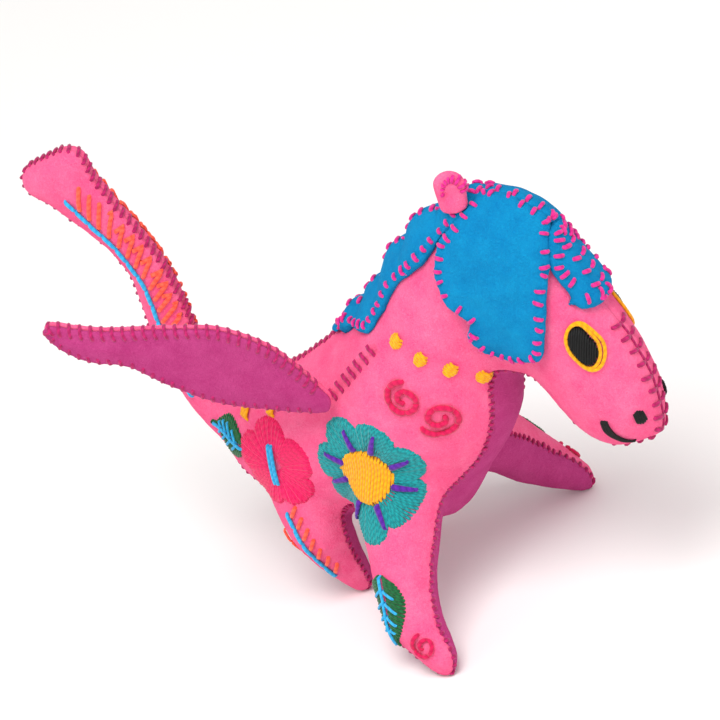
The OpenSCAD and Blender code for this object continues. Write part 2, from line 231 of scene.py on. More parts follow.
def wool(name, dark, light, gloss=0.0, sheen=0.2):
    """Soft plied embroidery wool: two plies twisted along the thread, with fine fibres across them."""
    material, tree, shader = new_material(name)
    along = add_node(tree, "ShaderNodeUVMap", {"uv_map": "thread"}).outputs["UV"]
    place = add_node(tree, "ShaderNodeTexCoord").outputs["Object"]
    # The plies turn once in about 2 mm; u runs round the thread and v along it in millimetres.
    turned = add_node(
        tree, "ShaderNodeVectorMath", {"operation": "MULTIPLY"}, {1: (2.0, 1.0, 0.0)}, {0: along},
    )
    plies = add_node(
        tree, "ShaderNodeTexWave", {"wave_type": "BANDS", "bands_direction": "DIAGONAL"},
        {"Scale": 0.32, "Distortion": 0.6, "Detail": 1.0}, {"Vector": turned.outputs[0]},
    ).outputs["Fac"]
    fibres = add_node(
        tree, "ShaderNodeTexNoise", inputs={"Scale": 1 / (0.35 * MM), "Detail": 4.0, "Roughness": 0.6},
        links={"Vector": place},
    ).outputs["Fac"]
    # The ply bands darken the colour between the plies, painted shade in the grooves, and the fibres vary
    # the tone at random; the same mix is the bump's height.
    both = add_node(tree, "ShaderNodeMath", {"operation": "MULTIPLY_ADD"}, {1: 0.22}, {0: plies})
    part = add_node(tree, "ShaderNodeMath", {"operation": "MULTIPLY"}, {1: 0.78}, {0: fibres})
    tree.links.new(part.outputs[0], both.inputs[2])
    tree.links.new(tinted(tree, dark, light, both.outputs[0]), shader.inputs["Base Color"])
    bump = add_node(
        tree, "ShaderNodeBump", inputs={"Strength": 0.4, "Distance": 0.2 * MM},
        links={"Height": both.outputs[0]},
    )
    tree.links.new(bump.outputs["Normal"], shader.inputs["Normal"])
    shader.inputs["Roughness"].default_value = 0.8 - 0.4 * gloss
    shader.inputs["Specular IOR Level"].default_value = 0.2 + 0.4 * gloss
    shader.inputs["Sheen Weight"].default_value = sheen
    shader.inputs["Sheen Roughness"].default_value = 0.5
    return material


# Dyed felt: hot pink for the side panels, plum pink for the gusset and wings, turquoise blue for the mane.
PINK_FELT = felt("pink_wool_felt", "#f0407c", "#fc7ca4")
MAGENTA_FELT = felt("magenta_wool_felt", "#a8286a", "#c44a88")
BLUE_FELT = felt("blue_wool_felt", "#006ca8", "#1092c4")
FILLING = felt("polyester_filling", "#ebe8e2", "#fbfaf6")
# Dyed wool: each colour is painted darker between its plies, as shade in the grooves.
SEAM_WOOL = wool("plum_seam_wool", "#8c1048", "#c01c68")
MANE_WOOL = wool("magenta_seam_wool", "#c01070", "#e83090")
CRIMSON_WOOL = wool("crimson_wool", "#d00850", "#f02068")
DEEP_WOOL = wool("deep_crimson_wool", "#b40444", "#dc1656")
TEAL_WOOL = wool("teal_wool", "#066c72", "#16a0a2")
YELLOW_WOOL = wool("yellow_wool", "#d88c00", "#f6b210")
GREEN_WOOL = wool("green_wool", "#084820", "#186c3c")
BLUE_WOOL = wool("light_blue_wool", "#1890c8", "#38b8e8")
PURPLE_WOOL = wool("purple_wool", "#3c1078", "#6424a8")
ORANGE_WOOL = wool("orange_wool", "#f04430", "#ff6a50")
BLACK_WOOL = wool("black_floss", "#030303", "#0c0c0c", gloss=0.3, sheen=0.0)


# ---------------------------------------------------------------- mesh helpers

def deselect():
    for thing in list(bpy.context.selected_objects):
        thing.select_set(False)


def pick(thing):
    deselect()
    thing.select_set(True)
    bpy.context.view_layer.objects.active = thing


def new_object(name, mesh, material):
    thing = bpy.data.objects.new(name, mesh)
    bpy.context.scene.collection.objects.link(thing)
    if material:
        thing.data.materials.append(material)
    return thing


def points_of(thing):
    flat = np.empty(len(thing.data.vertices) * 3)
    thing.data.vertices.foreach_get("co", flat)
    return flat.reshape(-1, 3)


def move_points(thing, places):
    thing.data.vertices.foreach_set("co", np.ascontiguousarray(places, float).ravel())
    thing.data.update()


def normals_of(thing):
    flat = np.empty(len(thing.data.vertices) * 3)
    thing.data.vertices.foreach_get("normal", flat)
    return flat.reshape(-1, 3)


def join_nodes(name, nodes):
    """One new mesh from copies of CAD nodes, with its doubles merged."""
    mesh = bpy.data.meshes.new(name)
    gathered = bmesh.new()
    for node in nodes:
        gathered.from_mesh(frame["nodes"][node].data)
    bmesh.ops.remove_doubles(gathered, verts=gathered.verts, dist=0.01 * MM)
    gathered.to_mesh(mesh)
    gathered.free()
    return new_object(name, mesh, None)


def apply_modifier(thing, kind, **settings):
    pick(thing)
    modifier = thing.modifiers.new(kind.lower(), kind)
    for key, value in settings.items():
        setattr(modifier, key, value)
    bpy.ops.object.modifier_apply(modifier=modifier.name)


def remesh(thing, size):
    apply_modifier(thing, "REMESH", mode="VOXEL", voxel_size=size * MM, use_smooth_shade=True)


def relax(thing, rounds, factor=0.5):
    apply_modifier(thing, "SMOOTH", iterations=rounds, factor=factor)


def swell(thing, amount):
    """Moves every point out along its normal, in millimetres."""
    move_points(thing, points_of(thing) + normals_of(thing) * amount * MM)


def stuff(thing, pressure, cap):
    """Inflates a closed mesh with cloth pressure, moving no point further than the cap, in millimetres."""
    before = points_of(thing)
    pick(thing)
    cloth = thing.modifiers.new("stuffing", "CLOTH")
    cloth.settings.use_pressure = True
    cloth.settings.uniform_pressure_force = pressure
    cloth.settings.effector_weights.gravity = 0.0
    cloth.settings.quality = 4
    cloth.settings.tension_stiffness = 40
    cloth.settings.compression_stiffness = 40
    cloth.collision_settings.use_collision = False
    cloth.point_cache.frame_start = 1
    cloth.point_cache.frame_end = 20
    for step in range(1, 21):
        bpy.context.scene.frame_set(step)
    bpy.ops.object.modifier_apply(modifier=cloth.name)
    bpy.context.scene.frame_set(1)
    moved = points_of(thing) - before
    length = np.linalg.norm(moved, axis=1, keepdims=True)
    move_points(thing, before + moved * np.minimum(1, cap * MM / np.maximum(length, 1e-9)))


def smooth_shading(thing):
    thing.data.shade_smooth()


def level(table, value):
    """Value of a table of (position, value) pairs at many positions."""
    positions, values = zip(*table)
    return np.interp(value, positions, values)


def smooth_step(value):
    share = np.clip(value, 0, 1)
    return share * share * (3 - 2 * share)


def inside(outline, x, z):
    """Which points lie inside an outline."""
    result = np.zeros(len(x), bool)
    count = len(outline)
    for i in range(count):
        x0, z0 = outline[i]
        x1, z1 = outline[(i + 1) % count]
        if z0 == z1:
            continue
        crosses = (z0 > z) != (z1 > z)
        result ^= crosses & (x < (x1 - x0) * (z - z0) / (z1 - z0) + x0)
    return result


def curve_through(points, step):
    """Points about one step apart on a smooth curve through the given points."""
    points = np.array(points, float)
    padded = np.vstack([2 * points[0] - points[1], points, 2 * points[-1] - points[-2]])
    fine = []
    for i in range(1, len(padded) - 2):
        a, b, c, d = padded[i - 1:i + 3]
        for t in np.linspace(0, 1, 12, endpoint=False):
            square, cube = 2 * a - 5 * b + 4 * c - d, 3 * b - a - 3 * c + d
            fine.append(0.5 * (2 * b + (c - a) * t + square * t * t + cube * t ** 3))
    fine.append(points[-1])
    return spaced(np.array(fine), step)


def spaced(line, step):
    """The same line with its points one step apart."""
    lengths = np.linalg.norm(np.diff(line, axis=0), axis=1)
    along = np.concatenate([[0], np.cumsum(lengths)])
    count = max(2, int(round(along[-1] / step)) + 1)
    places = np.linspace(0, along[-1], count)
    return np.stack([np.interp(places, along, line[:, k]) for k in range(line.shape[1])], axis=1)


# ---------------------------------------------------------------- the stuffed body

def gusset_reach(places):
    """How far each point is from the gusset of the frame, in millimetres."""
    return np.array([GUSSET_TREE.find_nearest(Vector(p))[3] for p in places]) / MM


def gusset_side(places, reach):
    """How far outside the belly gusset each point is, in millimetres: below 0 is on the gusset."""
    x, y, z = (places / MM).T
    front = smooth_step((x + 14) / 14)
    half_width = level(HIND_GUSSET, z) * (1 - front) + level(FRONT_GUSSET, z) * front
    return np.maximum(np.abs(y) - half_width, reach - 7)


def make_body():
    """One closed skin of the whole stuffed body, with its seams drawn in."""
    body = join_nodes("felt_body", ["body_stuffing"])
    remesh(body, 2.2)
    relax(body, 5)
    stuff(body, 4.0, 0.9)
    relax(body, 2)
    places = points_of(body)
    x, y, z = (places / MM).T
    # The chest swells forwards, and the soles settle flat on the ground.
    places[:, 0] += 6.5 * MM * np.exp(-((x - 44) / 20) ** 2 - ((z - 64) / 22) ** 2 - (y / 22) ** 2)
    places[:, 2] -= 0.6 * MM * np.exp(-z / 5)
    # The forehead falls away behind the eyes and is a little narrower than the cheeks.
    brow = np.exp(-((x - 93) / 17) ** 2 - ((z - 124) / 20) ** 2)
    places[:, 0] -= 6.0 * MM * brow
    places[:, 2] -= 1.5 * MM * brow
    places[:, 1] *= 1 - 0.1 * brow
    move_points(body, places)
    filling = new_object("stuffing_fill", body.data.copy(), FILLING)
    swell(filling, -0.35)
    swell(body, 1.75)
    remesh(body, VOXEL)
    relax(body, 6)
    places = points_of(body)
    out = normals_of(body)
    # Seams: the cut edges stand up a little beside a fine groove.
    to_middle = np.abs(places[:, 1]) / MM
    reach = gusset_reach(places)
    gusset = gusset_side(places, reach)
    middle_seam = np.where(gusset > 0, to_middle, 99)
    to_seam = np.minimum(middle_seam, np.abs(gusset))
    rise = 0.5 * np.exp(-(to_seam / 1.8) ** 2) - 0.7 * np.exp(-(to_seam / 0.7) ** 2)
    # The shoulder is drawn in along the wing's root.
    fold = np.array(WING_FOLD)
    way = fold[1] - fold[0]
    flat = places[:, [0, 2]] / MM - fold[0]
    share = np.clip(flat @ way / (way @ way), 0, 1)
    to_fold = np.linalg.norm(flat - share[:, None] * way, axis=1)
    rise -= 1.5 * np.exp(-(to_fold / 1.5) ** 2)
    # Stuffing: low lumps about 9 mm apart, felt: uneven by a tenth of a millimetre.
    lumps = np.array([noise.noise(Vector(p) / (9 * MM)) for p in places])
    nap = np.array([noise.noise(Vector(p) / (1.7 * MM)) for p in places])
    places += out * ((rise + 0.35 * lumps + 0.1 * nap) * MM)[:, None]
    places[:, 2] = np.maximum(places[:, 2], 0.0)
    # Points beside the gusset's seam move onto it, so that the cut is a clean line.
    value = gusset_side(places, reach)
    nudge = 0.05 * MM
    slope = np.stack([
        (gusset_side(places + nudge * np.eye(3)[k], reach) - value) / 0.05 for k in range(3)
    ], axis=1)
    size = np.maximum((slope ** 2).sum(1), 0.2)
    near = np.abs(value) < 0.42 * VOXEL
    places[near] -= (slope * (value / size)[:, None])[near] * MM
    move_points(body, places)
    cut = bmesh.new()
    cut.from_mesh(body.data)
    everything = cut.verts[:] + cut.edges[:] + cut.faces[:]
    bmesh.ops.bisect_plane(cut, geom=everything, dist=0.12 * MM, plane_co=(0, 0, 0), plane_no=(0, 1, 0))
    cut.to_mesh(body.data)
    cut.free()
    return body, filling


def faces_of(thing):
    """Centres of a mesh's faces."""
    flat = np.empty(len(thing.data.polygons) * 3)
    thing.data.polygons.foreach_get("center", flat)
    return flat.reshape(-1, 3)


def cut_out(name, source, chosen, material):
    """A new piece from the chosen faces of a mesh."""
    part = bmesh.new()
    part.from_mesh(source.data)
    part.faces.ensure_lookup_table()
    left_over = [part.faces[i] for i in np.flatnonzero(~chosen)]
    bmesh.ops.delete(part, geom=left_over, context="FACES")
    mesh = bpy.data.meshes.new(name)
    part.to_mesh(mesh)
    part.free()
    return new_object(name, mesh, material)


def edge_loops(thing, shortest=12):
    """The open edges of a mesh as ordered lines of points, with their normals and the ways inwards."""
    part = bmesh.new()
    part.from_mesh(thing.data)
    open_edges = [e for e in part.edges if len(e.link_faces) == 1]
    joins = {}
    for edge in open_edges:
        a, b = edge.verts
        joins.setdefault(a.index, []).append(b.index)
        joins.setdefault(b.index, []).append(a.index)
    loops = []
    unused = set(joins)
    part.verts.ensure_lookup_table()
    while unused:
        start = min(unused)
        line = [start]
        unused.discard(start)
        while True:
            following = [i for i in joins[line[-1]] if i in unused]
            if not following:
                break
            line.append(following[0])
            unused.discard(following[0])
        if len(line) >= shortest:
            loops.append(line)
    result = []
    for line in loops:
        places = np.array([part.verts[i].co for i in line])
        out = np.array([part.verts[i].normal for i in line])
        inward = []
        for i in line:
            beside = [f.calc_center_median() for f in part.verts[i].link_faces]
            inward.append(sum(beside, Vector()) / len(beside) - part.verts[i].co)
        result.append((places, out, np.array(inward)))
    part.free()
    return result


def even_out(line, rounds=6):
    """Smooths a closed line of points."""
    for _ in range(rounds):
        line = 0.5 * line + 0.25 * (np.roll(line, 1, axis=0) + np.roll(line, -1, axis=0))
    return line


def give_thickness(thing, thickness, inwards=True):
    apply_modifier(
        thing, "SOLIDIFY", thickness=thickness * MM, offset=-1.0 if inwards else 1.0, use_even_offset=False,
        use_rim=True,
    )


body, filling = make_body()
FELT_TREE = tree_of(body)
centres = faces_of(body)
on_gusset = gusset_side(centres, gusset_reach(centres)) < 0
SKINS = {}
for side in (RIGHT, LEFT):
    label = SIDE_NAMES[side] + "_side_felt"
    SKINS[side] = cut_out(label, body, ~on_gusset & (centres[:, 1] * side > 0), PINK_FELT)
SKINS["gusset"] = cut_out("gusset_felt", body, on_gusset, MAGENTA_FELT)
PANEL_EDGES = {key: edge_loops(skin) for key, skin in SKINS.items()}


# ---------------------------------------------------------------- mane and forelock

def covered(*nodes):
    """Which faces of the body lie under CAD nodes, looking straight out from each flank."""
    tree = node_tree(*nodes)
    outwards = [Vector((0, 1 if c[1] > 0 else -1, 0)) for c in centres]
    return np.array([tree.ray_cast(Vector(c), way)[0] is not None for c, way in zip(centres, outwards)])


EDGES = {}


def puff(name, chosen, material, thickness, lift, plump, size=0.8, scallop=0.0):
    """Thick soft felt laid over chosen faces of the body, lifted, rounded and stuffed a little."""
    piece = cut_out(name, body, chosen, material)
    for _ in range(3):
        soften_edge(piece)
    EDGES[name] = edge_loops(piece)
    swell(piece, lift)
    give_thickness(piece, thickness, inwards=False)
    remesh(piece, size)
    relax(piece, 4)
    swell(piece, plump)
    relax(piece, 3)
    places = points_of(piece)
    nap = np.array([noise.noise(Vector(p) / (5 * MM)) for p in places])
    x, y, z = (places / MM).T
    # Uneven scallops along the crest, about 17 mm apart.
    wave = np.abs(np.sin((x * 0.9 + z * 0.35) / 4.9 + 1.2 * np.sin(x / 17))) - 0.6
    crest = scallop * wave * np.exp(-(y / 9) ** 2)
    move_points(piece, places + normals_of(piece) * ((0.35 * nap + crest) * MM)[:, None])
    smooth_shading(piece)
    return piece


def soften_edge(piece):
    """Rounds the corners off the open edge of a patch."""
    part = bmesh.new()
    part.from_mesh(piece.data)
    rim = [v for v in part.verts if v.is_boundary]
    for _ in range(3):
        moved = {}
        for vert in rim:
            beside = [e.other_vert(vert) for e in vert.link_edges if e.is_boundary]
            middle = sum((v.co for v in beside), Vector()) / len(beside)
            moved[vert] = vert.co.lerp(middle, 0.5)
        for vert, place in moved.items():
            vert.co = place
    part.to_mesh(piece.data)
    part.free()


under_flaps = {side: covered(SIDE_NAMES[side] + "_mane_flap") for side in (RIGHT, LEFT)}
under_forelock = covered("forelock")
any_flap = under_flaps[RIGHT] | under_flaps[LEFT]
back_mane = covered("mane_back") & ~any_flap & ~under_forelock
mane = puff("mane_back_felt", back_mane, BLUE_FELT, 2.2, 0.0, 0.3, scallop=3.8)
flaps = {}
for side in (RIGHT, LEFT):
    chosen = under_flaps[side] & ~under_forelock
    flaps[side] = puff(SIDE_NAMES[side] + "_mane_felt", chosen, BLUE_FELT, 2.6, 0.5, 0.3)
forelock = puff("forelock_felt", under_forelock, BLUE_FELT, 2.4, 0.1, 0.6, scallop=3.4)


MANE_TREE = tree_of(mane, *flaps.values(), forelock)


# ---------------------------------------------------------------- threads

class Threads:
    """Gathers threads of one wool into a single piece."""

    def __init__(self):
        self.points, self.faces, self.turns = [], [], []

    def add(self, line, out, width=WOOL_W, height=None, taper=None, twist=0.0):
        """One thread along a line of points (metres), with the surface's outward direction at each."""
        line = np.asarray(line, float)
        out = np.asarray(out, float)
        count = len(line)
        height = height or 0.8 * width
        ahead = np.gradient(line, axis=0)
        ahead /= np.maximum(np.linalg.norm(ahead, axis=1, keepdims=True), 1e-12)
        across = np.cross(ahead, out)
        across /= np.maximum(np.linalg.norm(across, axis=1, keepdims=True), 1e-12)
        up = np.cross(across, ahead)
        size = np.ones(count) if taper is None else np.asarray(taper, float)
        gone = np.concatenate([[0], np.cumsum(np.linalg.norm(np.diff(line, axis=0), axis=1))]) / MM
        start = len(self.points)
        sides = 6
        for i in range(count):
            for k in range(sides):
                angle = 2 * math.pi * (k + 0.5) / sides
                offset = across[i] * math.cos(angle) * width / 2 + up[i] * math.sin(angle) * height / 2
                self.points.append(line[i] + offset * size[i] * MM)
        for i in range(count - 1):
            for k in range(sides):
                following = (k + 1) % sides
                a, b = start + i * sides, start + (i + 1) * sides
                self.faces.append((a + k, a + following, b + following, b + k))
                for round_it, station in ((k, i), (k + 1, i), (k + 1, i + 1), (k, i + 1)):
                    self.turns.append((round_it / sides + twist, gone[station]))
        self.faces.append(tuple(start + k for k in reversed(range(sides))))
        self.turns += [(0.5, 0.0)] * sides
        self.faces.append(tuple(start + (count - 1) * sides + k for k in range(sides)))
        self.turns += [(0.5, gone[-1])] * sides

    def build(self, name, material, body_name="horse", nodes=()):
        mesh = bpy.data.meshes.new(name)
        mesh.from_pydata([tuple(p) for p in self.points], [], self.faces)
        layer = mesh.uv_layers.new(name="thread")
        layer.data.foreach_set("uv", np.array(self.turns).ravel())
        mesh.update()
        piece = new_object(name, mesh, material)
        smooth_shading(piece)
        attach(piece, body_name)
        if nodes:
            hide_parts(*nodes)
        return piece


def drop(tree, side, x, z, start=120):
    """Where a place on a flank, as (x, z) in millimetres, meets a surface, with its outward direction."""
    origin = Vector((x * MM, side * start * MM, z * MM))
    place, out, _, _ = tree.ray_cast(origin, Vector((0, -side, 0)))
    if place is None or place.y * side < 0:
        # The far leg was met, or nothing: the felt nearest this side's flank is taken.
        if z > LEG_TOP:
            width = TRUNK_FLANK
        else:
            width = FRONT_LEG_FLANK if x > 0 else HIND_LEG_FLANK
        place, out, _, _ = tree.find_nearest(Vector((x * MM, side * width * MM, z * MM)))
    return np.array(place), np.array(out)


def nearest(tree, place):
    found, out, _, _ = tree.find_nearest(Vector(place))
    return np.array(found), np.array(out)


def lay(threads, tree, side, points, width=WOOL_W, height=None, rise=0.3, step=1.0, dip=True, taper=None):
    """Lays a thread on a flank along (x, z) points; its two ends dip into the felt."""
    if len(points) > 2:
        flat = curve_through(points, step)
    else:
        flat = spaced(np.array(points, float), step)
    if len(flat) < 3:
        flat = spaced(flat, np.linalg.norm(flat[-1] - flat[0]) / 2)
    found = [drop(tree, side, x, z) for x, z in flat]
    finish_thread(threads, found, width, height, rise, dip, taper)


def finish_thread(threads, found, width, height, rise, dip, taper):
    line = np.array([p for p, _ in found])
    out = np.array([n for _, n in found])
    out = (out + np.vstack([out[:1], out[:-1]]) + np.vstack([out[1:], out[-1:]])) / 3
    out /= np.linalg.norm(out, axis=1, keepdims=True)
    share = np.linspace(0, 1, len(line))
    lift = rise * np.ones(len(line))
    sizes = np.ones(len(line))
    if dip:
        ends = np.minimum(share, 1 - share)
        length = np.linalg.norm(np.diff(line, axis=0), axis=1).sum() / MM
        reach = min(0.5, 1.1 / max(length, 0.5))
        bow = np.clip(ends / reach, 0, 1)
        lift = (rise + 0.9) * np.sqrt(1 - (1 - bow) ** 2) - 0.9
        sizes = 0.75 + 0.25 * bow
    if taper is not None:
        sizes = sizes * np.interp(share, np.linspace(0, 1, len(taper)), taper)
    threads.add(line + out * (lift * MM)[:, None], out, width, height, sizes, twist=rng.random())


def stitch(threads, tree, start, end, width=1.3, height=1.1, rise=0.45, count=6):
    """One straight stitch between two places in space, following the surface beneath."""
    steps = [np.asarray(start) * (1 - t) + np.asarray(end) * t for t in np.linspace(0, 1, count)]
    finish_thread(threads, [nearest(tree, p) for p in steps], width, height, rise, True, None)


def whip(threads, tree, seam, out, spacing, reach_a, reach_b, slant=0.0, width=1.35, jitter=0.12):
    """Whip stitches over a seam: short bars square to it, one every so many millimetres."""
    lengths = np.linalg.norm(np.diff(seam, axis=0), axis=1)
    along = np.concatenate([[0], np.cumsum(lengths)])
    stations = np.linspace(0, along[-1], max(2, int(along[-1] / (spacing * MM))))
    places = np.stack([np.interp(stations, along, seam[:, k]) for k in range(3)], axis=1)
    outs = np.stack([np.interp(stations, along, out[:, k]) for k in range(3)], axis=1)
    ahead = np.gradient(places, axis=0)
    ahead /= np.maximum(np.linalg.norm(ahead, axis=1, keepdims=True), 1e-12)
    for place, up, along in zip(places, outs, ahead):
        across = np.cross(along, up)
        across /= max(np.linalg.norm(across), 1e-9)
        sway = along * (slant + rng.uniform(-jitter, jitter) * 3) * MM
        a = place - across * (reach_a * rng.uniform(0.85, 1.12)) * MM - sway / 2
        b = place + across * (reach_b * rng.uniform(0.85, 1.12)) * MM + sway / 2
        stitch(threads, tree, a, b, width * rng.uniform(0.9, 1.1))


def fan(
    threads, tree, side, centre, inner, outline, spacing=1.0, width=1.15, rise=0.3, height=0.85, ragged=0.25,
):
    """Satin stitches that fan out from round a centre to an outline given by angle, as (x, z)."""
    angles = np.linspace(0, 2 * math.pi, 361)
    radii = outline(angles)
    steps = np.hypot(np.diff(radii * np.cos(angles)), np.diff(radii * np.sin(angles)))
    arc = np.concatenate([[0], np.cumsum(steps)])
    # The stitches are a little closer together at the rim than their width; at the centre they crowd.
    count = int(arc[-1] / spacing)
    for k in range(count):
        angle = np.interp((k + 0.5) / count * arc[-1], arc, angles)
        length = np.interp(angle, angles, radii) + rng.uniform(-ragged, ragged)
        begin = inner + (0.18 * (length - inner) * (k % 2)) + rng.uniform(0, 0.6)
        ends = [
            (centre[0] + r * math.cos(angle), centre[1] + r * math.sin(angle)) for r in (begin, length)
        ]
        thickness = width * rng.uniform(0.92, 1.08)
        lift = rise + rng.uniform(-0.08, 0.12)
        lay(threads, tree, side, ends, thickness, height, lift, step=1.6, taper=(0.62, 0.85, 1.0, 1.0))


def fill_rows(threads, tree, side, outline, direction, spacing=0.95, width=1.1, rise=0.35, crown=0.0):
    """Parallel satin stitches across an outline of (x, z) points, running in one direction (degrees)."""
    turn = math.radians(direction)
    ahead = np.array([math.cos(turn), math.sin(turn)])
    beside = np.array([-ahead[1], ahead[0]])
    outline = np.array(outline, float)
    middle = outline.mean(axis=0)
    offsets = (outline - middle) @ beside
    rows = np.arange(offsets.min() + spacing * 0.5, offsets.max(), spacing)
    half_span = max(abs(offsets.min()), abs(offsets.max()))
    for row in rows:
        reach = np.linspace(-40, 40, 801)
        line = middle + beside * row + reach[:, None] * ahead
        held = reach[inside([tuple(p) for p in outline], line[:, 0], line[:, 1])]
        if len(held) < 4:
            continue
        ends = [middle + beside * row + ahead * (v + rng.uniform(-0.2, 0.2)) for v in (held[0], held[-1])]
        lift = rise + crown * max(0.0, 1 - (row / half_span) ** 2)
        lay(threads, tree, side, ends, width * rng.uniform(0.93, 1.07), 0.85, lift, step=1.5)


def middle_seam(node):
    """Runs of the right panel's edge on the middle plane inside a node's box, with outward directions."""
    low, high = (np.array(v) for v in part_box(node))
    runs = []
    for places, out, _ in PANEL_EDGES[RIGHT]:
        boxed = (places > low - 2.5 * MM).all(1) & (places < high + 2.5 * MM).all(1)
        held = boxed & (np.abs(places[:, 1]) < 0.5 * MM)
        for run in np.split(np.arange(len(places)), np.flatnonzero(np.diff(held.astype(int))) + 1):
            if held[run[0]] and len(run) > 8:
                line, ways = places[run].copy(), out[run].copy()
                line[:, 1] = ways[:, 1] = 0.0
                runs.append((line, ways / np.linalg.norm(ways, axis=1, keepdims=True)))
    return runs


def ridge(tree, node, first, last):
    """Line over a node on the middle plane, swept between two angles, with outward directions."""
    low, high = (np.array(v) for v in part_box(node))
    middle = np.array((low[0] * 0.4 + high[0] * 0.6, 0, low[2]))
    places, outs = [], []
    for angle in np.radians(np.linspace(first, last, 60)):
        way = np.array((math.cos(angle), 0, math.sin(angle)))
        place, out, _, _ = tree.ray_cast(Vector(middle + way * 0.2), Vector(-way))
        if place is not None and low[0] <= place.x <= high[0] and place.z > low[2]:
            places.append((place.x, 0, place.z))
            outs.append((out.x, 0, out.z))
    outs = np.array(outs)
    return np.array(places), outs / np.maximum(np.linalg.norm(outs, axis=1, keepdims=True), 1e-6)


# ---------------------------------------------------------------- embroidery on each flank

def lobed(count, length, depth):
    """Outline of a flower of even petals, each a little longer or shorter than the last."""
    directions = 2 * math.pi * (np.arange(count) + 0.3) / count
    lengths = [length * rng.uniform(0.97, 1.09) for _ in range(count)]
    turn = 2 * math.pi

    def radius(angle):
        angle = np.atleast_1d(np.asarray(angle, float)) % turn
        ring = np.concatenate([directions - turn, directions, directions + turn])
        reach = np.interp(angle, ring, lengths * 3)
        after = np.searchsorted(ring, angle)
        low, high = ring[after - 1], ring[np.minimum(after, len(ring) - 1)]
        share = (angle - low) / np.maximum(high - low, 1e-6)
        from_axis = 1 - np.abs(2 * share - 1)
        return reach - depth * (1 - np.sqrt(np.maximum(0, 1 - from_axis ** 2)))

    return radius


def oval(centre, half_x, half_z, steps=28):
    angles = [2 * math.pi * i / steps for i in range(steps)]
    return [(centre[0] + half_x * math.cos(a), centre[1] + half_z * math.sin(a)) for a in angles]


def coil(centre, size, start, turns):
    """Points of a flat spiral that winds in to its centre, as (x, z)."""
    places = []
    for share in np.linspace(0, 1, 26):
        angle = math.radians(start + 360 * turns * share)
        reach = size * (1 - 0.8 * share)
        places.append((centre[0] + reach * math.cos(angle), centre[1] + reach * math.sin(angle)))
    return places


def almond(centre, half_x, half_z):
    """Oval that is drawn out to a blunt point at its top back and bottom front."""
    result = []
    for x, z in oval((0, 0), half_x, half_z):
        lean = (x / half_x) * (z / half_z)
        grow = 1 - 0.42 * lean
        result.append((centre[0] + x * grow, centre[1] + z * grow))
    return result


